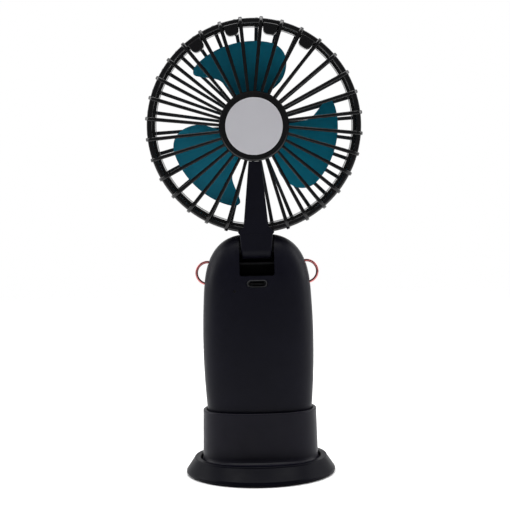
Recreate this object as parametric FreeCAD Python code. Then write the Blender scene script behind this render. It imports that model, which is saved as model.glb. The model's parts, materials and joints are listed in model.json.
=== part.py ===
import FreeCAD, Part
import math
import os
from FreeCAD import Vector

# Folding fan that stands in a dock base. Millimetres, +Z up, origin at the bottom centre of the base.
# -Y is the rear, with the arm and the charging port. Air blows towards +Y.

# ---- driving dimensions ----
CLEAR = 0.05                                        # gap between pieces that fit together

# base
BASE_R, BASE_H = 34.6, 7.9                          # skirt's largest radius, and its height
COLLAR_W, COLLAR_D, COLLAR_T = 30.4, 26.5, 2.5       # oval edge on top of the skirt, half sizes and width
COLLAR_OVAL = 2.2                                   # its exponent
FLANGE_W, FLANGE_D = 26.9, 23.4                     # foot of the dock cup, half sizes
FLANGE_Z0, FLANGE_Z1 = 5.6, 6.9
WEIGHT_R = 21.6
CUP_TOP, CUP_FLOOR = 30.2, 9.0
CUP_HALF_W, CUP_HALF_D, CUP_DRAFT = 26.25, 17.0, 0.45
CUP_MOUTH_W, CUP_MOUTH_D = 24.6, 15.35
FOOT_H, PLATE_H = 0.8, 1.4
SCREW_CIRCLE_R = 19.0

# handle
OVAL = 2.4                                          # exponent of the oval sections
HANDLE_Z0, HANDLE_TOP = 9.05, 111.25
BELLY_Z, BELLY_HALF_W, BELLY_HALF_D = 60.5, 25.55, 15.4
SIDE_BEND_R, FACE_BEND_R = 345.0, 520.0             # lengthwise bend of the sides and faces
WALL = 1.8
SEAM = 0.06                                         # half the gap between the shells
BOTTOM_ROUND = 2.5
PORT_Z, PORT_RECESS = 89.5, 0.9
PORT_HOLE_W, PORT_HOLE_H = 9.6, 3.5
PORT_W, PORT_H, PORT_LEN = 8.94, 3.26, 7.3
BOARD_Z0, BOARD_T = 86.8, 1.0
CELL_TOP, CELL_Y = 80.8, 0.5
BUTTON_Z, BUTTON_R, BUTTON_TRAVEL = 90.8, 5.4, 0.5
INDICATOR_X, INDICATOR_Z = -10.3, 86.2

# strap rings
RING_X, RING_Z, RING_R, WIRE_R = 22.8, 93.5, 5.05, 0.62
RING_SLOT_HALF_Y, RING_SLOT_GAP, RING_SWING = 2.5, 0.3, 18.0

# hinge
HINGE_Y, HINGE_Z, KNUCKLE_R = -5.4, 104.6, 5.0
PIN_R, WASHER_T = 1.4, 0.65
SLOT_HALF_W, SLOT_Z0, SLOT_BACK_Y = 7.95, 92.85, -0.15
LIP_TOP, LIP_T = 98.9, 0.8
CRADLE_T = 1.4

# head
HEAD_Z = 160.8
RIM_R, RIM_T = 48.75, 2.9
RIM_BAND, RIM_LIP_DEPTH = 2.45, 3.2
GRILLE_R = 45.0                                      # where a guard's ribs meet its rim
REAR_Y0, SPLIT_Y, FRONT_Y1 = -7.5, 3.0, 14.0        # rim's rear edge, joint of the guards, front edge
RIB_R = 49.7                                        # reach of the ribs round the outside of the rim
RIB_W, RIB_HUB_W, RIB_DEPTH, RIB_SKEW = 1.75, 1.35, 2.4, 1.0
REAR_RIBS, FRONT_RIBS = 32, 30
REAR_RIB_PHASE, FRONT_RIB_PHASE = 6.2, 2.6          # degrees, clockwise from the top, seen from the rear
HUB_R, HUB_Y0, HUB_Y1 = 16.0, -10.5, -1.0
DISC_R, DISC_T, DISC_PROUD = 13.0, 0.8, 0.3
CAN_R, CAN_Y0, CAN_Y1 = 12.0, -8.6, 0.4
CLIP_HALF_W, CLIP_END_HALF_W, CLIP_IN_R, CLIP_OUT_R = 3.35, 2.95, 41.7, 46.9

# arm
ARM_TOP_HALF_W, NECK_HALF_W, SHOULDER_HALF_W = 2.85, 5.7, 8.2
KNUCKLE_TOP_HALF_W, KNUCKLE_END_HALF_W = 7.5, 6.65
NECK_Z, SHOULDER_Z, KNUCKLE_TOP_Z = 115.2, 112.9, 111.6
ARM_Y0, ARM_Y1, ARM_COVER_T = -10.3, -7.55, 0.8
ARM_SCREW_X, ARM_SCREW_Z = 2.9, 118.0

# impeller
BLADES, BLADE_R, FAN_HUB_R = 3, 38.8, 13.0
BLADE_T, BLADE_RISE, BLADE_MID_Y = 1.1, 8.6, 4.9
SHAFT_R = 1.0

os.makedirs("parts", exist_ok=True)


# ---- helpers ----
def save(name, *solids):
    """Writes one node, a solid or a group of separate solids."""
    shape = solids[0] if len(solids) == 1 else Part.Compound(list(solids))
    shape.exportStep("parts/" + name + ".step")


def box(x0, x1, y0, y1, z0, z1):
    return Part.makeBox(x1 - x0, y1 - y0, z1 - z0, Vector(x0, y0, z0))


def rod_x(r, x0, x1, y, z):
    return Part.makeCylinder(r, x1 - x0, Vector(x0, y, z), Vector(1, 0, 0))


def rod_y(r, y0, y1, x=0.0, z=HEAD_Z):
    return Part.makeCylinder(r, y1 - y0, Vector(x, y0, z), Vector(0, 1, 0))


def rod_z(r, z0, z1, x=0.0, y=0.0):
    return Part.makeCylinder(r, z1 - z0, Vector(x, y, z0), Vector(0, 0, 1))


def ring_y(r_out, r_in, y0, y1):
    return rod_y(r_out, y0, y1).cut(rod_y(r_in, y0, y1))


def turn_z(points):
    """Solid of revolution round the base's axis, from (radius, height) points."""
    wire = Part.makePolygon([Vector(r, 0, z) for r, z in points + points[:1]])
    return Part.Face(wire).revolve(Vector(0, 0, 0), Vector(0, 0, 1), 360)


def turn_y(points):
    """Solid of revolution round the head's axis, from (radius, depth) points."""
    wire = Part.makePolygon([Vector(r, y, HEAD_Z) for r, y in points + points[:1]])
    return Part.Face(wire).revolve(Vector(0, 0, HEAD_Z), Vector(0, 1, 0), 360)


def about_head(shape, degrees):
    """A copy turned clockwise round the head's axis, seen from the rear."""
    turned = shape.copy()
    turned.rotate(Vector(0, 0, HEAD_Z), Vector(0, 1, 0), degrees)
    return turned


def on_circle(radius, degrees):
    """Offset in X and Z of a point on a circle, clockwise from the top, seen from the rear."""
    t = math.radians(degrees)
    return radius * math.sin(t), radius * math.cos(t)


def round_edges(solid, radius, pick):
    """Fillets the edges that pick accepts."""
    return solid.makeFillet(radius, [e for e in solid.Edges if pick(e)])


def flat_at(edge, axis, value):
    """True where an edge lies in the plane axis = value."""
    low, high = getattr(edge.BoundBox, axis + "Min"), getattr(edge.BoundBox, axis + "Max")
    return abs(low - value) < 1e-3 and abs(high - value) < 1e-3


def oval_quarter(half_w, half_d, count, power):
    """Points a quarter of the way round a superellipse, evenly spaced along it, first on X and last on Y."""
    fine = []
    for k in range(401):
        t = math.pi / 2 * k / 400
        fine.append((math.cos(t) ** (2 / power) * half_w if k < 400 else 0.0, math.sin(t) ** (2 / power) * half_d))
    run = [0.0]
    for a, b in zip(fine, fine[1:]):
        run.append(run[-1] + math.dist(a, b))
    points = []
    for k in range(count + 1):
        target = run[-1] * k / count
        at = min(range(len(run)), key=lambda i: abs(run[i] - target))
        points.append(fine[at])
    return points


def oval_wire(half_w, half_d, z, power=OVAL):
    """Closed superellipse at one height."""
    q = oval_quarter(half_w, half_d, 8, power)
    loop = q[:-1] + [(-x, y) for x, y in reversed(q)][:-1]
    loop = loop + [(-x, -y) for x, y in loop]
    curve = Part.BSplineCurve()
    steps = [k / len(loop) for k in range(len(loop) + 1)]
    curve.interpolate(Points=[Vector(x, y, z) for x, y in loop], PeriodicFlag=True, Parameters=steps)
    return Part.Wire([curve.toShape()])


def oval_loft(sections, ruled=False):
    """Solid through (height, half width, half depth) sections, each with its exponent last if that isn't OVAL."""
    return Part.makeLoft([oval_wire(w, d, z, *power) for z, w, d, *power in sections], True, ruled)


# ---- handle outline ----
def arch(z, start, power):
    """1 below start, falling to 0 at the top of the handle along a superellipse."""
    u = max(0.0, (z - start) / (HANDLE_TOP - start))
    return (1 - u ** power) ** (1 / power)


def handle_half_width(z):
    return (BELLY_HALF_W - (z - BELLY_Z) ** 2 / (2 * SIDE_BEND_R)) * arch(z, 84.0, 3.0)


def handle_half_depth(z):
    return (BELLY_HALF_D - (z - BELLY_Z) ** 2 / (2 * FACE_BEND_R)) * arch(z, 88.0, 2.6)


def handle_solid(inset):
    """The handle's outer form, or the same form taken in by inset on all sides."""
    z0 = HANDLE_Z0 + inset
    sections = []
    for z in (z0, 20, 33, 47, 60, 72, 82, 90, 96.5, 101.2, 104.6, 107.2, 109.2, HANDLE_TOP - 0.6):
        drop = inset * max(0.0, (z - BELLY_Z) / (HANDLE_TOP - BELLY_Z)) ** 3
        sections.append((z - drop, handle_half_width(z) - inset, handle_half_depth(z) - inset))
    solid = oval_loft(sections)
    solid = round_edges(solid, BOTTOM_ROUND, lambda e: flat_at(e, "Z", z0))
    if inset == 0:
        solid = round_edges(solid, 0.5, lambda e: flat_at(e, "Z", HANDLE_TOP - 0.6))
    return solid


# ---- base ----
def skirt():
    """Outer ring of the base: round below, narrowing to an oval edge round the cup's foot."""
    sections = [(z, r, r, 2.0) for z, r in (
        (0.3, BASE_R - 0.7), (0.5, BASE_R - 0.3), (1.1, BASE_R), (1.8, BASE_R - 0.1), (2.4, BASE_R - 0.45))]
    for z, out in ((BASE_H - 0.7, 0.5), (BASE_H - 0.3, 0.35), (BASE_H - 0.08, 0.12), (BASE_H, -0.15)):
        sections.append((z, COLLAR_W + out, COLLAR_D + out, COLLAR_OVAL))
    solid = oval_loft(sections, ruled=True)
    well = []
    for z, out in ((FLANGE_Z0 - CLEAR, 0.0), (BASE_H - 0.4, 0.0), (BASE_H - 0.1, 0.12), (BASE_H + 0.2, 0.6)):
        well.append((z, COLLAR_W - COLLAR_T + out, COLLAR_D - COLLAR_T + out, COLLAR_OVAL))
    solid = solid.cut(oval_loft(well, ruled=True))
    return solid.cut(turn_z([
        (0, 0), (31.3, 0), (31.3, FOOT_H + PLATE_H + CLEAR), (29.6, FOOT_H + PLATE_H + CLEAR), (29.6, 3.9),
        (WEIGHT_R + 0.5, 3.9), (WEIGHT_R + 0.5, FLANGE_Z0), (0, FLANGE_Z0),
    ]))


def base_parts():
    save("base_skirt", skirt())

    holes = [on_circle(SCREW_CIRCLE_R, a) for a in (60, 180, 300)]
    plate = rod_z(31.2, FOOT_H, FOOT_H + PLATE_H)
    weight = rod_z(WEIGHT_R, FOOT_H + PLATE_H + CLEAR, FLANGE_Z0 - 0.2)
    screws = []
    for x, y in holes:
        plate = plate.cut(rod_z(1.3, 0, 5, x, y)).cut(rod_z(2.6, 0, FOOT_H + 0.9, x, y))
        weight = weight.cut(rod_z(1.6, 0, 9, x, y))
        head = rod_z(2.4, FOOT_H + 0.1, FOOT_H + 0.9, x, y)
        cross = box(x - 1.5, x + 1.5, y - 0.3, y + 0.3, FOOT_H, FOOT_H + 0.5)
        cross = cross.fuse(box(x - 0.3, x + 0.3, y - 1.5, y + 1.5, FOOT_H, FOOT_H + 0.5))
        screws.append(head.fuse(rod_z(1.15, FOOT_H + 0.5, FLANGE_Z1 - 0.5, x, y)).cut(cross))
    save("base_plate", plate)
    save("base_weight", weight)
    save("base_screws", *screws)
    foot = rod_z(30.2, 0, FOOT_H).cut(rod_z(23.4, 0, FOOT_H))
    foot = round_edges(foot, 0.3, lambda e: flat_at(e, "Z", 0))
    save("foot_pad", foot)

    # the cup flares into its round foot, and its mouth is rounded
    flare, foot_w = 2.6, CUP_HALF_W + CUP_DRAFT
    sections = []
    for k in range(6):
        t = math.pi / 2 * k / 5
        tuck = 1 - math.sin(t)
        sections.append((FLANGE_Z1 - 0.3 + flare * (1 - math.cos(t)), foot_w + 0.45 * tuck, CUP_HALF_D + flare * tuck))
    outer = oval_loft(sections, ruled=True)
    outer = outer.fuse(oval_loft([(sections[-1][0], foot_w, CUP_HALF_D), (CUP_TOP, CUP_HALF_W, CUP_HALF_D)]))
    inner = oval_loft([(z, CUP_MOUTH_W - 0.085 * (CUP_TOP - z), CUP_MOUTH_D - 0.05 * (CUP_TOP - z))
                       for z in (CUP_FLOOR, 14.0, 22.0, CUP_TOP + 1)])
    foot = oval_loft([(z, FLANGE_W, FLANGE_D, COLLAR_OVAL) for z in (FLANGE_Z0, FLANGE_Z1)])
    cup = outer.fuse(foot).cut(inner)
    for x, y in holes:
        cup = cup.cut(rod_z(1.2, 0, FLANGE_Z1 - 0.45, x, y))
    cup = round_edges(cup, 0.6, lambda e: flat_at(e, "Z", CUP_TOP))
    save("dock_cup", cup)


# ---- handle ----
def ring_slot(side):
    """Space that one strap ring needs in the shells as it swings."""
    x, y = side * RING_X, RING_SLOT_HALF_Y
    gap = WIRE_R + RING_SLOT_GAP
    # turned by its swing, the ring's far side comes in by this much
    drawn_in = RING_R * (1 - math.cos(math.radians(RING_SWING)))
    return rod_y(RING_R + gap, -y, y, x, RING_Z).cut(rod_y(RING_R - gap - drawn_in, -y, y, x, RING_Z))


def port_prism(width, height, y0, y1):
    """Prism with round ends, of the charging socket's outline."""
    r = height / 2
    x = width / 2 - r
    bar = box(-x, x, y0, y1, PORT_Z - r, PORT_Z + r)
    for side in (-1, 1):
        bar = bar.fuse(rod_y(r, y0, y1, side * x, PORT_Z))
    return bar.removeSplitter()


def handle_parts():
    outer, inner = handle_solid(0), handle_solid(WALL)
    shell = outer.cut(inner)
    slot = box(-SLOT_HALF_W, SLOT_HALF_W, -30, SLOT_BACK_Y, SLOT_Z0, 130)
    slot = round_edges(slot, 1.2, lambda e: flat_at(e, "Z", SLOT_Z0))
    shell = shell.cut(slot)
    for side in (-1, 1):
        shell = shell.cut(ring_slot(side))

    rear = shell.common(box(-40, 40, -40, -SEAM, 0, 130))
    rear = rear.cut(port_prism(PORT_HOLE_W, PORT_HOLE_H, -20, -8))
    rear = rear.cut(rod_y(0.65, -20, -8, INDICATOR_X, INDICATOR_Z))
    front = shell.common(box(-40, 40, SEAM, 40, 0, 130))
    front = front.cut(rod_y(BUTTON_R + 0.25, 5, 20, 0, BUTTON_Z))

    # two screws near the bottom, hidden by the dock cup, hold the shells together
    screws = []
    for side in (-1, 1):
        x, z = side * 14.0, 20.0
        face_y = -handle_half_depth(z) * (1 - (14.0 / handle_half_width(z)) ** OVAL) ** (1 / OVAL)
        boss = rod_y(3.0, face_y + WALL - 0.4, -SEAM, x, z)
        rear = rear.fuse(boss).cut(rod_y(2.3, -20, face_y + 1.5, x, z)).cut(rod_y(1.3, -20, 1, x, z))
        post = rod_y(3.0, SEAM, -face_y - WALL + 0.4, x, z).cut(rod_y(1.15, 0, 5.0, x, z))
        front = front.fuse(post)
        head = rod_y(2.2, face_y + 0.3, face_y + 1.5, x, z)
        drive = box(x - 1.4, x + 1.4, face_y, face_y + 0.8, z - 0.3, z + 0.3)
        drive = drive.fuse(box(x - 0.3, x + 0.3, face_y, face_y + 0.8, z - 1.4, z + 1.4))
        screws.append(head.fuse(rod_y(1.1, face_y + 1.4, 4.8, x, z)).cut(drive))
    save("rear_shell", rear.removeSplitter())
    save("front_shell", front.removeSplitter())
    save("case_screws", *screws)

    # pocket that lines the hinge slot, with a lip under the knuckle
    hold = handle_solid(WALL + CLEAR)
    w = SLOT_HALF_W + CRADLE_T
    cradle = box(-w, w, -30, SLOT_BACK_Y + CRADLE_T, SLOT_Z0 - CRADLE_T, 130)
    cradle = cradle.cut(box(-SLOT_HALF_W, SLOT_HALF_W, -30, SLOT_BACK_Y, SLOT_Z0, 130))
    lip = box(-w + 0.5, w - 0.5, -12, SLOT_BACK_Y + 0.5, LIP_TOP - LIP_T, LIP_TOP)
    cradle = cradle.fuse(lip).common(hold)
    pin = rod_x(PIN_R, -SLOT_HALF_W - 1.3, SLOT_HALF_W + 1.3, HINGE_Y, HINGE_Z).common(hold)
    cradle = cradle.cut(rod_x(PIN_R + 0.02, -15, 15, HINGE_Y, HINGE_Z))
    save("hinge_cradle", cradle.removeSplitter())
    save("hinge_pin", pin)
    washers = []
    for side in (-1, 1):
        x0, x1 = sorted((side * (SLOT_HALF_W - 0.02), side * (SLOT_HALF_W - WASHER_T)))
        washer = rod_x(2.8, x0, x1, HINGE_Y, HINGE_Z)
        washers.append(washer.cut(rod_x(PIN_R + 0.02, -15, 15, HINGE_Y, HINGE_Z)))
    save("hinge_washers", *washers)

    save("battery_cell", battery())
    save("circuit_board", circuit_board())
    port_y = -handle_half_depth(PORT_Z) + PORT_RECESS
    socket = port_prism(PORT_W, PORT_H, port_y, port_y + PORT_LEN)
    socket = socket.cut(port_prism(PORT_W - 0.6, PORT_H - 0.6, port_y - 1, port_y + PORT_LEN - 0.4))
    save("charging_socket", socket)
    tongue = box(-3.35, 3.35, port_y + 1.0, port_y + PORT_LEN - 0.4, PORT_Z - 0.35, PORT_Z + 0.35)
    save("socket_tongue", round_edges(tongue, 0.25, lambda e: flat_at(e, "Y", port_y + 1.0)))
    face_y = -handle_half_depth(INDICATOR_Z) * (1 - (abs(INDICATOR_X) / handle_half_width(INDICATOR_Z)) ** OVAL) ** (1 / OVAL)
    save("charge_indicator", rod_y(0.6, face_y + 0.35, face_y + 3.0, INDICATOR_X, INDICATOR_Z))
    switch_z = BOARD_Z0 + BOARD_T
    stem_y = handle_half_depth(BUTTON_Z) - 4.3 - BUTTON_TRAVEL - CLEAR
    switch = box(-3.0, 3.0, stem_y - 3.9, stem_y - 0.5, switch_z, switch_z + 4.6)
    save("tact_switch", switch.fuse(rod_y(1.5, stem_y - 0.6, stem_y, 0, BUTTON_Z)))
    leads = []
    for x in (-6.0, 6.0):
        leads.append(rod_z(0.7, CELL_TOP, BOARD_Z0, x, CELL_Y))
    save("battery_leads", *leads)


def battery():
    """One cylindrical cell with a raised top cap."""
    cell = rod_z(9.2, CELL_TOP - 65.0, CELL_TOP, 0, CELL_Y)
    cell = round_edges(cell, 0.8, lambda e: flat_at(e, "Z", CELL_TOP - 65.0) or flat_at(e, "Z", CELL_TOP))
    return cell.fuse(rod_z(3.0, CELL_TOP - 0.1, CELL_TOP + 1.0, 0, CELL_Y))


def circuit_board():
    board = box(-14.0, 14.0, -10.0, 8.2, BOARD_Z0, BOARD_Z0 + BOARD_T)
    board = round_edges(board, 4.0, lambda e: e.BoundBox.ZLength > 0.9)
    for x in (-11.0, 11.0):
        board = board.cut(rod_z(1.1, 80, 90, x, -2.0))
    return board


def power_button():
    """Cap with a flange behind the shell. Its back pushes the tact switch."""
    face_y = handle_half_depth(BUTTON_Z)
    cap = rod_y(BUTTON_R, face_y - 4.2, face_y + 0.7, 0, BUTTON_Z)
    cap = round_edges(cap, 0.6, lambda e: flat_at(e, "Y", face_y + 0.7))
    cap = cap.cut(rod_y(4.2, face_y + 0.45, face_y + 1, 0, BUTTON_Z))
    flange = rod_y(BUTTON_R + 1.0, face_y - 4.3, face_y - 3.5, 0, BUTTON_Z)
    return cap.fuse(flange).removeSplitter()


def strap_ring(side):
    return Part.makeTorus(RING_R, WIRE_R, Vector(side * RING_X, 0, RING_Z), Vector(0, 1, 0))


# ---- head ----
def rib(r0, y_rim, y_hub, forward, inner_round):
    """One guard rib along +X at the head's centre height, bent round the rim. forward is the way it bends along Y."""
    bend, reach, f = 4.2, 3.4, forward
    back = y_rim + f * RIB_DEPTH
    tip = y_rim + f * (bend + reach)
    points = [
        (r0, y_hub), (RIB_R - bend, y_rim), (RIB_R, y_rim + f * bend), (RIB_R, tip),
        (RIB_R - 1.2, tip), (RIB_R - 1.2, back + 1.2 * f), (RIB_R - 3.4, back), (r0, y_hub + f * RIB_DEPTH),
    ]
    corners = [Vector(x, y, 0) for x, y in points]
    lean = bend * (1 - math.sqrt(0.5))
    middle = Vector(RIB_R - lean, y_rim + f * lean, 0)
    edges = [Part.Arc(corners[1], middle, corners[2]).toShape()]
    for k in (0, 2, 3, 4, 5, 6, 7):
        edges.append(Part.LineSegment(corners[k], corners[(k + 1) % 8]).toShape())
    face = Part.Face(Part.Wire(Part.__sortEdges__(edges)))
    face.translate(Vector(0, 0, HEAD_Z - RIB_W))
    solid = face.extrude(Vector(0, 0, 2 * RIB_W))
    outline = [(r0 - 1, RIB_HUB_W / 2), (GRILLE_R, RIB_W / 2), (60, RIB_W / 2)]
    plan = [Vector(x, -30, HEAD_Z + z) for x, z in outline] + [Vector(x, -30, HEAD_Z - z) for x, z in reversed(outline)]
    solid = solid.common(Part.Face(Part.makePolygon(plan + plan[:1])).extrude(Vector(0, 60, 0)))

    def long_edge(e, y_at):
        """True for an edge along the rib's length in the face that runs through y_at(x)."""
        a, b = e.Vertexes[0].Point, e.Vertexes[-1].Point
        along = abs(a.z - b.z) < 0.5 and abs(a.x - b.x) > 3.0 and min(a.x, b.x) < RIB_R - bend + 0.1
        return along and abs(a.y - y_at(a.x)) < 0.05 and abs(b.y - y_at(b.x)) < 0.05

    def shown(x):
        return y_hub + (y_rim - y_hub) * (x - r0) / (RIB_R - bend - r0)

    def hidden(x):
        return y_hub + f * RIB_DEPTH + (back - y_hub - f * RIB_DEPTH) * (x - r0) / (RIB_R - 3.4 - r0)
    over_rim = [e for e in solid.Edges if abs(e.Vertexes[0].Z - e.Vertexes[-1].Z) < 1e-3
                and min(v.X for v in e.Vertexes) > RIB_R - bend - 0.1 and e.Length > 3.0
                and max(v.X for v in e.Vertexes) > RIB_R - 0.1]
    solid = solid.makeFillet(0.5, [e for e in solid.Edges if long_edge(e, shown)] + over_rim)
    if inner_round:
        solid = round_edges(solid, inner_round, lambda e: long_edge(e, hidden))
    return solid


def ribs(count, phase, pattern, skew, skip=()):
    """Ribs round the head, as their grille ends and their rim ends. skew moves each sideways, past the centre."""
    pattern.translate(Vector(0, 0, skew))
    core = rod_y(GRILLE_R, -40, 40)
    inner, outer = pattern.common(rod_y(GRILLE_R - 0.02, -40, 40)), pattern.cut(core)
    grille, rim = [], []
    for k in range(count):
        angle = phase + k * 360 / count
        if any(abs((angle - s + 180) % 360 - 180) < 180 / count for s in skip):
            continue
        grille.append(about_head(inner, angle - 90))
        rim.append(about_head(outer, angle - 90))
    return grille, rim


def rim_half(seam_y, edge_y):
    """One half of the rim, from the joint of the guards to its rounded free edge."""
    r0, r1 = RIM_R - RIM_T, RIM_R
    t = 0.9 if edge_y > seam_y else -0.9
    u = abs(t)
    return turn_y([
        (r0, seam_y), (r0, edge_y - t), (r0 + 0.3 * u, edge_y - 0.3 * t), (r0 + u, edge_y),
        (r1 - u, edge_y), (r1 - 0.3 * u, edge_y - 0.3 * t), (r1, edge_y - t), (r1, seam_y),
    ])


def rear_rim():
    """Rear half of the rim: a rounded band, a drafted wall inside it, and a lip sunk behind the band."""
    lip_y, joint_y = REAR_Y0 + RIM_LIP_DEPTH, SPLIT_Y - 2.0 - CLEAR
    band_r = RIM_R - RIM_BAND
    return turn_y([
        (RIM_R - RIM_T, SPLIT_Y), (RIM_R - RIM_T, joint_y), (GRILLE_R + CLEAR, joint_y), (GRILLE_R + CLEAR, lip_y + 0.3),
        (GRILLE_R + 0.3, lip_y), (band_r - 0.35, lip_y), (band_r, REAR_Y0 + 0.5), (band_r + 0.15, REAR_Y0 + 0.15),
        (band_r + 0.5, REAR_Y0), (RIM_R - 0.9, REAR_Y0), (RIM_R - 0.27, REAR_Y0 + 0.27), (RIM_R, REAR_Y0 + 0.9), (RIM_R, SPLIT_Y),
    ])


def rear_guard():
    """Grille and rim of the guard on the arm's side."""
    disc_seat = HUB_Y0 - DISC_PROUD + DISC_T + CLEAR
    hub = turn_y([
        (DISC_R + 0.1, HUB_Y0), (15.2, HUB_Y0), (15.75, HUB_Y0 + 0.3), (HUB_R, HUB_Y0 + 0.9), (HUB_R, HUB_Y1),
        (CAN_R + 0.1, HUB_Y1), (CAN_R + 0.1, CAN_Y0 - CLEAR), (3.0, CAN_Y0 - CLEAR), (3.0, disc_seat), (DISC_R + 0.1, disc_seat),
    ])
    pattern = rib(HUB_R - 0.5, REAR_Y0 - 1.0, -8.9, 1, 0)
    gap = 180 / REAR_RIBS
    grille, wraps = ribs(REAR_RIBS, REAR_RIB_PHASE, pattern, RIB_SKEW, skip=(180 - gap, 180 + gap))
    # flat seat under the arm
    seat = arm_prism(0.05).common(box(-20, 20, ARM_Y0 - 1, ARM_Y1 + CLEAR, 100, HEAD_Z))
    return hub.multiFuse(grille).cut(seat), rear_rim().multiFuse(wraps).cut(seat)


def front_guard():
    """Grille and rim of the guard on the outlet side."""
    # a spigot centres the front rim in the rear one
    r = RIM_R - RIM_T - CLEAR
    spigot = turn_y([
        (GRILLE_R, SPLIT_Y - 2.0), (r, SPLIT_Y - 2.0), (r, SPLIT_Y + CLEAR), (r + 0.5, SPLIT_Y + CLEAR),
        (r + 0.5, SPLIT_Y + 3.0), (GRILLE_R, SPLIT_Y + 3.0),
    ])
    hub = turn_y([
        (15.4, 11.6), (15.4, 14.2), (15.1, 14.6), (14.3, 14.6), (14.3, 13.2), (2.0, 13.2), (2.0, 12.2), (13.6, 12.2), (13.6, 11.6),
    ])
    pattern = rib(15.0, FRONT_Y1 + 1.0, 14.4, -1, 0.45)
    grille, wraps = ribs(FRONT_RIBS, FRONT_RIB_PHASE, pattern, 0)
    return hub.multiFuse(grille), rim_half(SPLIT_Y + CLEAR, FRONT_Y1).multiFuse([spigot] + wraps)


def guard_clips():
    """Four clips with round inner corners inside the top of the rim, each between two ribs."""
    clips = []
    y0 = -9.1
    for k in (-3, -1, 1, 3):
        plan = [(CLIP_HALF_W, CLIP_OUT_R + 1), (CLIP_END_HALF_W, CLIP_IN_R)]
        corners = [Vector(x, y0, HEAD_Z + z) for x, z in plan] + [Vector(-x, y0, HEAD_Z + z) for x, z in reversed(plan)]
        body = Part.Face(Part.makePolygon(corners + corners[:1])).extrude(Vector(0, 1.0 - y0, 0))
        body = round_edges(body, 2.3, lambda e: e.BoundBox.YLength > 9 and e.BoundBox.ZMax < HEAD_Z + CLIP_IN_R + 0.1)
        body = body.common(rod_y(CLIP_OUT_R, -12, 12))
        body = round_edges(body, 0.45, lambda e: flat_at(e, "Y", y0))
        body = body.cut(ring_y(60, RIM_R - RIM_T - CLEAR, REAR_Y0 - CLEAR, 20))
        body = body.cut(ring_y(60, GRILLE_R - CLEAR, REAR_Y0 + RIM_LIP_DEPTH - CLEAR, 20))
        clips.append(about_head(body, k * 180 / REAR_RIBS * 2 - 0.65))
    return clips


def arm_prism(grow):
    """The neck of the arm, seen from the rear, down to the top of the knuckle."""
    g = grow
    outline = [
        (ARM_TOP_HALF_W + g, HEAD_Z - 10), (ARM_TOP_HALF_W + g, HEAD_Z - HUB_R), (NECK_HALF_W + g, NECK_Z),
        (SHOULDER_HALF_W + g, SHOULDER_Z), (SHOULDER_HALF_W + g, SHOULDER_Z - 0.4), (KNUCKLE_TOP_HALF_W + g, KNUCKLE_TOP_Z),
    ]
    points = [Vector(x, ARM_Y0, z) for x, z in outline] + [Vector(-x, ARM_Y0, z) for x, z in reversed(outline)]
    return Part.Face(Part.makePolygon(points + points[:1])).extrude(Vector(0, ARM_Y1 - ARM_Y0, 0))


def arm_rear():
    """Outer half of the arm, one piece with the hinge knuckle. A channel inside it holds the leads."""
    neck = arm_prism(0)
    neck = round_edges(neck, 0.6, lambda e: flat_at(e, "Y", ARM_Y0) and e.BoundBox.ZMin > NECK_Z - 0.1
                       and e.BoundBox.ZMax < HEAD_Z - 10.5)
    neck = neck.cut(rod_y(HUB_R + CLEAR, -20, 20))
    channel = box(-1.6, 1.6, ARM_Y0 + 0.8, ARM_Y1 + 1, HINGE_Z + 3.0, HEAD_Z)
    cover_seat = arm_prism(-0.8).common(box(-20, 20, ARM_Y1 - ARM_COVER_T, ARM_Y1 + 1, SHOULDER_Z, HEAD_Z))

    # the block hangs from the neck and ends in a half round about the pin
    top_z, y0, y1 = KNUCKLE_TOP_Z, HINGE_Y - KNUCKLE_R, HINGE_Y + KNUCKLE_R
    side = box(-20, 20, y0, y1, HINGE_Z, top_z).fuse(rod_x(KNUCKLE_R, -20, 20, HINGE_Y, HINGE_Z))
    low_z = HINGE_Z - KNUCKLE_R
    plan = [(KNUCKLE_TOP_HALF_W, top_z), (KNUCKLE_END_HALF_W, low_z)]
    points = [Vector(x, -20, z) for x, z in plan] + [Vector(-x, -20, z) for x, z in reversed(plan)]
    wedge = Part.Face(Part.makePolygon(points + points[:1])).extrude(Vector(0, 40, 0))
    block = side.removeSplitter().common(wedge)
    block = round_edges(block, 0.7, lambda e: e.BoundBox.ZMin > low_z - 0.1 and abs(e.CenterOfMass.x) > 6
                        and e.BoundBox.ZLength > 2 and e.CenterOfMass.y < HINGE_Y)
    arm = neck.fuse(block).cut(channel).cut(cover_seat)
    for side in (-1, 1):
        arm = arm.cut(rod_y(0.76, ARM_Y1 - ARM_COVER_T - 1.3, ARM_Y1, side * ARM_SCREW_X, ARM_SCREW_Z))
    return arm.cut(rod_x(PIN_R + 0.05, -20, 20, HINGE_Y, HINGE_Z))


def arm_cover():
    cover = arm_prism(-0.85).common(box(-20, 20, ARM_Y1 - ARM_COVER_T + CLEAR, ARM_Y1, SHOULDER_Z + 0.1, HEAD_Z))
    cover = cover.cut(rod_y(HUB_R + CLEAR, -20, 20))
    for side in (-1, 1):
        cover = cover.cut(rod_y(0.8, -20, 0, side * ARM_SCREW_X, ARM_SCREW_Z))
    return cover


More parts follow.
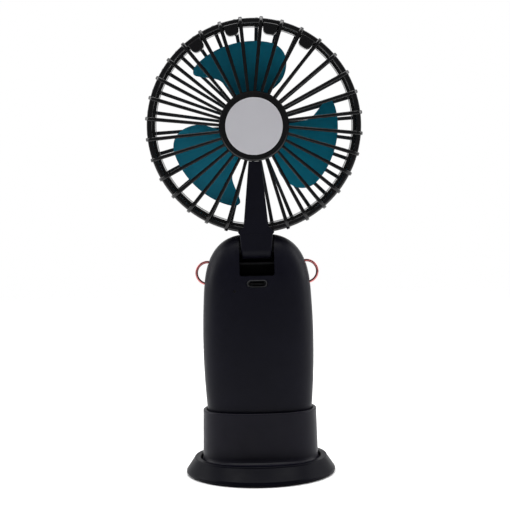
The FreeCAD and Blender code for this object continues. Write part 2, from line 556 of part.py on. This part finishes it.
def head_parts():
    grille, rim = rear_guard()
    save("rear_grille", grille)
    save("rear_rim", rim)
    grille, rim = front_guard()
    save("front_grille", grille)
    save("front_rim", rim)
    save("guard_clips", *guard_clips())
    save("arm_rear", arm_rear())
    save("arm_cover", arm_cover())
    screws = []
    for side in (-1, 1):
        x = side * ARM_SCREW_X
        thread = rod_y(0.75, ARM_Y1 - ARM_COVER_T - 1.2, ARM_Y1, x, ARM_SCREW_Z)
        screws.append(thread.fuse(rod_y(1.2, ARM_Y1, ARM_Y1 + 0.5, x, ARM_SCREW_Z)))
    save("arm_screws", *screws)
    disc_y = HUB_Y0 - DISC_PROUD
    disc = rod_y(DISC_R, disc_y, disc_y + DISC_T)
    save("hub_disc", round_edges(disc, 0.25, lambda e: flat_at(e, "Y", disc_y)))
    cap = rod_y(14.2, 13.25, 15.0)
    save("front_cap", round_edges(cap, 1.1, lambda e: flat_at(e, "Y", 15.0)))

    can = turn_y([
        (CAN_R, CAN_Y0), (CAN_R, CAN_Y1 - 0.6), (CAN_R - 0.6, CAN_Y1), (3.0, CAN_Y1), (3.0, CAN_Y1 - 0.8),
        (CAN_R - 0.8, CAN_Y1 - 0.8), (CAN_R - 0.8, CAN_Y0),
    ])
    save("motor_can", can)
    save("motor_end_cap", ring_y(CAN_R - 0.85, 3.0, CAN_Y0, CAN_Y0 + 1.2))
    save("motor_bushes", ring_y(2.95, SHAFT_R + 0.03, CAN_Y0, CAN_Y0 + 1.8), ring_y(2.95, SHAFT_R + 0.03, -1.2, CAN_Y1 + 0.2))
    magnets = []
    for side in (0, 180):
        arc = ring_y(CAN_R - 0.85, 9.2, -6.4, -1.4).common(box(-9, 9, -8, 0, HEAD_Z + 2, HEAD_Z + 14))
        magnets.append(about_head(arc, side))
    save("motor_magnets", *magnets)
    leads = []
    for x in (-0.8, 0.8):
        leads.append(rod_z(0.45, HINGE_Z + 3.2, HEAD_Z - HUB_R - 0.5, x, ARM_Y0 + 1.4))
    save("motor_leads", *leads)


# ---- impeller ----
def blade_outline():
    """Closed outline of one blade, from (degrees from the blade's middle line, radius) points."""
    polar = [
        (-24.0, 12.0), (-25.0, 18.0), (-26.5, 23.0), (-28.5, 26.4), (-33.0, 29.4), (-37.0, 32.2), (-39.8, 34.6),
        (-40.6, 36.4), (-38.5, 37.9), (-34.0, 38.6), (-26.0, BLADE_R), (-12.0, BLADE_R), (2.0, BLADE_R), (16.0, BLADE_R),
        (24.0, 38.4), (30.0, 36.8), (34.5, 34.2), (38.0, 30.6), (40.2, 26.6), (40.2, 23.2), (37.5, 19.6), (34.0, 16.4), (30.0, 12.0),
    ]
    points = []
    for degrees, radius in polar:
        x, z = on_circle(radius, degrees)
        points.append(Vector(x, -20, HEAD_Z + z))
    curve = Part.BSplineCurve()
    curve.interpolate(Points=points)
    closing = Part.LineSegment(points[-1], points[0])
    return Part.Wire([curve.toShape(), closing.toShape()])


def blade():
    """A twisted sheet, trimmed to the blade's outline. The round end leads and lies to the rear."""
    grid = []
    for degrees in range(-56, 57, 8):
        row = []
        for radius in range(8, 45, 4):
            share = degrees / 42.0
            camber = 0.9 * (share ** 2 - 0.3)
            rise = BLADE_RISE * (0.62 + 0.38 * radius / BLADE_R)
            y = BLADE_MID_Y - rise / 2 * share + camber - 0.3
            x, z = on_circle(radius, degrees)
            row.append(Vector(x, y - BLADE_T / 2, HEAD_Z + z))
        grid.append(row)
    surface = Part.BSplineSurface()
    surface.interpolate(grid)
    sheet = surface.toShape().extrude(Vector(0, BLADE_T, 0))
    prism = Part.Face(blade_outline()).extrude(Vector(0, 40, 0))
    return sheet.common(prism)


def impeller():
    hub = turn_y([
        (FAN_HUB_R, 1.0), (FAN_HUB_R, 8.4), (12.4, 9.3), (10.6, 9.9), (SHAFT_R + 0.01, 9.9), (SHAFT_R + 0.01, 2.2),
        (3.2, 2.2), (3.2, 8.5), (FAN_HUB_R - 1.3, 8.5), (FAN_HUB_R - 1.3, 1.0),
    ])
    core = rod_y(FAN_HUB_R - 0.6, -30, 40)
    trimmed = blade().cut(core).Solids[0]
    middle = -8.0
    blades = [about_head(trimmed, middle + k * 360 / BLADES) for k in range(BLADES)]
    return hub.multiFuse(blades)


def spinning_parts():
    save("impeller", impeller())
    save("motor_shaft", rod_y(SHAFT_R, CAN_Y0 + 0.2, 9.6))
    core = ring_y(8.6, SHAFT_R + 0.01, -6.2, -1.6)
    for k in range(3):
        slot = box(-0.8, 0.8, -8, 0, HEAD_Z + 4.0, HEAD_Z + 10)
        core = core.cut(about_head(slot, 60 + 120 * k))
    save("armature", core)


base_parts()
handle_parts()
save("power_button", power_button())
save("left_ring", strap_ring(-1))
save("right_ring", strap_ring(1))
head_parts()
spinning_parts()
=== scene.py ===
import json
import math

import bmesh
import bpy
from mathutils import Matrix, Vector

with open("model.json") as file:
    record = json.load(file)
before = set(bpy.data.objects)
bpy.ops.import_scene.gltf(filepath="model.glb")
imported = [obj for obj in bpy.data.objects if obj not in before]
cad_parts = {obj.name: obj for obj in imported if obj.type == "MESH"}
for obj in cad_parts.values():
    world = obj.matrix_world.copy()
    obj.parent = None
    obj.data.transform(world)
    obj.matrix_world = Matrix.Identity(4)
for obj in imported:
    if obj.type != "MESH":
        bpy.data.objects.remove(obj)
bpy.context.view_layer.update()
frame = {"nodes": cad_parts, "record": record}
NODES = frame["nodes"]


# ---- materials ----
# noise scales, in cycles per metre
MOTTLE_SCALE, GLOSS_SCALE = 55.0, 160.0
METAL_MOTTLE_SCALE, METAL_GRAIN_SCALE = 120.0, 900.0
METAL_GRAIN_DEPTH = 0.000008
WINDING_SCALE, WINDING_DEPTH = 700.0, 0.00008
NOISE_LOW, NOISE_HIGH = 0.3, 0.7        # the part of a noise's 0-1 range that it really covers


def linear(r, g, b):
    """Linear colour from 0-255 sRGB."""
    def one(c):
        c /= 255
        return c / 12.92 if c <= 0.04045 else ((c + 0.055) / 1.055) ** 2.4
    return one(r), one(g), one(b), 1.0


def scaled(color, k):
    return tuple(min(1.0, c * k) for c in color[:3]) + (1.0,)


class Nodes:
    """Short names for building a shader."""

    def __init__(self, name):
        self.mat = bpy.data.materials.new(name)
        self.mat.use_nodes = True
        self.tree = self.mat.node_tree
        self.bsdf = self.tree.nodes["Principled BSDF"]
        self.where = self.add("ShaderNodeTexCoord").outputs["Object"]

    def add(self, kind, **settings):
        node = self.tree.nodes.new(kind)
        for key, value in settings.items():
            setattr(node, key, value)
        return node

    def link(self, a, b):
        self.tree.links.new(a, b)

    def noise(self, scale, detail=4.0, roughness=0.55):
        node = self.add("ShaderNodeTexNoise")
        node.inputs["Scale"].default_value = scale
        node.inputs["Detail"].default_value = detail
        node.inputs["Roughness"].default_value = roughness
        self.link(self.where, node.inputs["Vector"])
        return node.outputs["Fac"]

    def ramp(self, source, stops):
        node = self.add("ShaderNodeValToRGB")
        elements = node.color_ramp.elements
        for element, (at, color) in zip(elements, stops):
            element.position = at
            element.color = (*color[:3], 1.0)
        self.link(source, node.inputs["Fac"])
        return node.outputs["Color"]

    def span(self, source, low, high):
        """A noise turned into values from low to high."""
        node = self.add("ShaderNodeMapRange")
        node.inputs["From Min"].default_value = NOISE_LOW
        node.inputs["From Max"].default_value = NOISE_HIGH
        node.inputs["To Min"].default_value = low
        node.inputs["To Max"].default_value = high
        self.link(source, node.inputs["Value"])
        return node.outputs["Result"]

    def mottle(self, scale, color, spread):
        """Base colour that wanders by spread to either side of color."""
        stops = [(NOISE_LOW, scaled(color, 1 - spread)), (NOISE_HIGH, scaled(color, 1 + spread))]
        self.link(self.ramp(self.noise(scale, 3.0), stops), self.bsdf.inputs["Base Color"])

    def roughen(self, source, low, high):
        self.link(self.span(source, low, high), self.bsdf.inputs["Roughness"])

    def bump(self, source, strength, distance):
        node = self.add("ShaderNodeBump")
        node.inputs["Strength"].default_value = strength
        node.inputs["Distance"].default_value = distance
        self.link(source, node.inputs["Height"])
        self.link(node.outputs["Normal"], self.bsdf.inputs["Normal"])

    def set(self, **values):
        for key, value in values.items():
            self.bsdf.inputs[key.replace("_", " ")].default_value = value


def plastic(name, color, rough, grain, depth, spread=0.12, specular=0.5):
    """Moulded plastic: faint mottling of its colour, uneven gloss and a fine spark texture."""
    n = Nodes(name)
    n.mottle(MOTTLE_SCALE, color, spread)
    n.roughen(n.noise(GLOSS_SCALE), rough - 0.05, rough + 0.05)
    n.bump(n.noise(grain, 3.0, 0.6), 1.0, depth)
    n.set(Specular_IOR_Level=specular)
    return n.mat


def metal(name, color, rough, spread=0.08):
    """Metal with a fine grain."""
    n = Nodes(name)
    n.set(Metallic=1.0)
    n.mottle(METAL_MOTTLE_SCALE, color, spread)
    fine = n.noise(METAL_GRAIN_SCALE, 4.0, 0.6)
    n.roughen(fine, rough - 0.06, rough + 0.08)
    n.bump(fine, 0.5, METAL_GRAIN_DEPTH)
    return n.mat


def wound_copper():
    """Turns of copper wire round the motor's axis."""
    n = Nodes("wound_copper")
    wave = n.add("ShaderNodeTexWave", wave_type="RINGS", rings_direction="Y")
    wave.inputs["Scale"].default_value = WINDING_SCALE
    n.link(n.where, wave.inputs["Vector"])
    color = n.ramp(wave.outputs["Fac"], [(0.2, (0.25, 0.07, 0.02)), (0.8, (0.75, 0.3, 0.12))])
    n.link(color, n.bsdf.inputs["Base Color"])
    n.roughen(n.noise(300.0), 0.3, 0.45)
    n.bump(wave.outputs["Fac"], 0.6, WINDING_DEPTH)
    n.set(Metallic=0.8)
    return n.mat


# name: colour, roughness, grain scale, grain depth in metres, then what differs from plastic()'s defaults
PLASTICS = {
    "black_gloss": (linear(7, 7, 10), 0.17, 2600.0, 0.000003, {"specular": 0.4}),
    "dark_guard": (linear(48, 48, 52), 0.32, 2600.0, 0.000004, {}),
    "graphite": (linear(15, 15, 24), 0.42, 3200.0, 0.000010, {"specular": 0.08}),
    # the body's graphite painted darker for the base skirt: painted shade on its sloped face, against the
    # top light
    "skirt_graphite_painted_shade": (linear(4, 4, 12), 0.42, 3200.0, 0.000010, {"specular": 0.045}),
    "charcoal": (linear(18, 17, 27), 0.42, 3200.0, 0.000010, {"specular": 0.12}),
    "grey_disc": (linear(212, 211, 217), 0.42, 3000.0, 0.000010, {"spread": 0.02, "specular": 0.4}),
    "teal": (linear(11, 141, 172), 0.5, 2400.0, 0.000006, {"spread": 0.05, "specular": 0.2}),
    "inner_plastic": ((0.0025, 0.0025, 0.003), 0.5, 2600.0, 0.000010, {"specular": 0.12}),
    "board_green": ((0.01, 0.09, 0.04), 0.35, 900.0, 0.00002, {}),
    "cell_wrap": ((0.02, 0.09, 0.28), 0.3, 500.0, 0.00001, {}),
    "lens": ((0.004, 0.004, 0.005), 0.2, 1200.0, 0.000004, {"specular": 0.2}),
    "lead": ((0.2, 0.01, 0.01), 0.5, 1500.0, 0.00001, {}),
    "foot_rubber": ((0.012, 0.012, 0.012), 0.75, 2200.0, 0.00002, {"specular": 0.3}),
}
# name: colour, roughness
METALS = {
    "rose_gold": ((0.5, 0.17, 0.17), 0.2),
    "dark_metal": ((0.1, 0.1, 0.105), 0.35),
    "steel": ((0.5, 0.5, 0.51), 0.3),
    "brass": ((0.7, 0.48, 0.22), 0.45),
}
# two pieces get painted shade instead of their slot's material: the base skirt a darker copy of graphite,
# and the steel hinge pin near-black plastic that hides its gleam in the narrow hinge gap
PAINTED_SHADE_OF = {"base_skirt": "skirt_graphite_painted_shade", "hinge_pin": "inner_plastic"}


def paint_nodes():
    materials = {name: plastic(name, *row[:4], **row[4]) for name, row in PLASTICS.items()}
    materials.update((name, metal(name, *row)) for name, row in METALS.items())
    materials["copper"] = wound_copper()
    for row in frame["record"]["subparts"]:
        slots = NODES[row["node"]].data.materials
        slots.clear()
        # pieces with painted shade take their darker material instead of their slot's
        slots.append(materials[PAINTED_SHADE_OF.get(row["node"], row["material_slot"])])


# ---- floor, light and camera ----
FLOOR_HALF_SIZE = 1.6
FLOOR_FADE_START, FLOOR_FADE_END = 0.16, 0.8

ROOM_LEVEL, BACKDROP_LEVEL = 0.2, 1.0
ROOM_EDGE, BACKDROP_EDGE = -0.35, 0.75      # along Y in the sky, where one level ends and the other starts

# name: place, aim, size, power
LIGHTS = {
    "key_top": ((0.0, 0.1, 1.4), (0, 0, 0.0), (1.3, 1.1), 26.0),
    "side_left": ((-0.8, 0.15, 0.4), (0, 0, 0.12), (0.35, 0.7), 3.5),
    "side_right": ((0.8, 0.15, 0.4), (0, 0, 0.12), (0.35, 0.7), 3.5),
}

CAMERA_DISTANCE, CAMERA_HEIGHT, AIM_HEIGHT = 0.736, 0.1662, 0.1014
CAMERA_X, ROLL_DEG, LENS = -0.00075, 1.2, 113.0


def build_floor():
    """A pale floor that fades into the white surroundings."""
    mesh = bpy.data.meshes.new("floor")
    bm = bmesh.new()
    bmesh.ops.create_grid(bm, x_segments=1, y_segments=1, size=FLOOR_HALF_SIZE)
    bm.to_mesh(mesh)
    bm.free()
    floor = bpy.data.objects.new("floor", mesh)
    bpy.context.scene.collection.objects.link(floor)
    n = Nodes("pale_floor")
    color = n.ramp(n.noise(3.0), [(NOISE_LOW, (0.86, 0.86, 0.86)), (NOISE_HIGH, (0.88, 0.88, 0.88))])
    n.link(color, n.bsdf.inputs["Base Color"])
    n.set(Roughness=0.8, Specular_IOR_Level=0.1)
    distance = n.add("ShaderNodeVectorMath", operation="LENGTH")
    n.link(n.where, distance.inputs[0])
    fade = n.add("ShaderNodeMapRange", interpolation_type="SMOOTHSTEP")
    fade.inputs["From Min"].default_value = FLOOR_FADE_START
    fade.inputs["From Max"].default_value = FLOOR_FADE_END
    fade.inputs["To Min"].default_value = 1.0
    fade.inputs["To Max"].default_value = 0.0
    n.link(distance.outputs["Value"], fade.inputs["Value"])
    n.link(fade.outputs["Result"], n.bsdf.inputs["Alpha"])
    mesh.materials.append(n.mat)


def area_light(name, place, aim, size, power):
    data = bpy.data.lights.new(name, "AREA")
    data.shape = "RECTANGLE"
    data.size, data.size_y = size
    data.energy = power
    lamp = bpy.data.objects.new(name, data)
    lamp.location = place
    lamp.rotation_euler = (Vector(aim) - Vector(place)).to_track_quat("-Z", "Y").to_euler()
    bpy.context.scene.collection.objects.link(lamp)


def build_light():
    """White to the camera; as a light, bright behind the fan and dim in front of it."""
    world = bpy.data.worlds.new("studio")
    bpy.context.scene.world = world
    world.use_nodes = True
    tree = world.node_tree
    seen = tree.nodes["Background"]
    lit = tree.nodes.new("ShaderNodeBackground")
    for background in (seen, lit):
        background.inputs["Color"].default_value = (1.0, 1.0, 1.0, 1.0)
    seen.inputs["Strength"].default_value = 1.0
    where = tree.nodes.new("ShaderNodeTexCoord")
    split = tree.nodes.new("ShaderNodeSeparateXYZ")
    tree.links.new(where.outputs["Generated"], split.inputs[0])
    level = tree.nodes.new("ShaderNodeMapRange")
    level.interpolation_type = "SMOOTHSTEP"
    level.inputs["From Min"].default_value = ROOM_EDGE
    level.inputs["From Max"].default_value = BACKDROP_EDGE
    level.inputs["To Min"].default_value = ROOM_LEVEL
    level.inputs["To Max"].default_value = BACKDROP_LEVEL
    tree.links.new(split.outputs["Y"], level.inputs["Value"])
    tree.links.new(level.outputs["Result"], lit.inputs["Strength"])
    path = tree.nodes.new("ShaderNodeLightPath")
    mix = tree.nodes.new("ShaderNodeMixShader")
    tree.links.new(path.outputs["Is Camera Ray"], mix.inputs[0])
    tree.links.new(lit.outputs[0], mix.inputs[1])
    tree.links.new(seen.outputs[0], mix.inputs[2])
    tree.links.new(mix.outputs[0], tree.nodes["World Output"].inputs["Surface"])
    for name, row in LIGHTS.items():
        area_light(name, *row)


def build_camera():
    data = bpy.data.cameras.new("camera")
    data.lens = LENS
    data.sensor_width = 36.0
    data.clip_start = 0.01
    camera = bpy.data.objects.new("camera", data)
    place = Vector((CAMERA_X, -CAMERA_DISTANCE, CAMERA_HEIGHT))
    aim = Vector((CAMERA_X, 0, AIM_HEIGHT))
    turn = (aim - place).to_track_quat("-Z", "Y").to_matrix().to_4x4()
    roll = Matrix.Rotation(-math.radians(ROLL_DEG), 4, "Z")
    camera.matrix_world = Matrix.Translation(place) @ turn @ roll
    bpy.context.scene.collection.objects.link(camera)
    bpy.context.scene.camera = camera


paint_nodes()
build_floor()
build_light()
build_camera()
bpy.context.scene.view_settings.view_transform = "Standard"
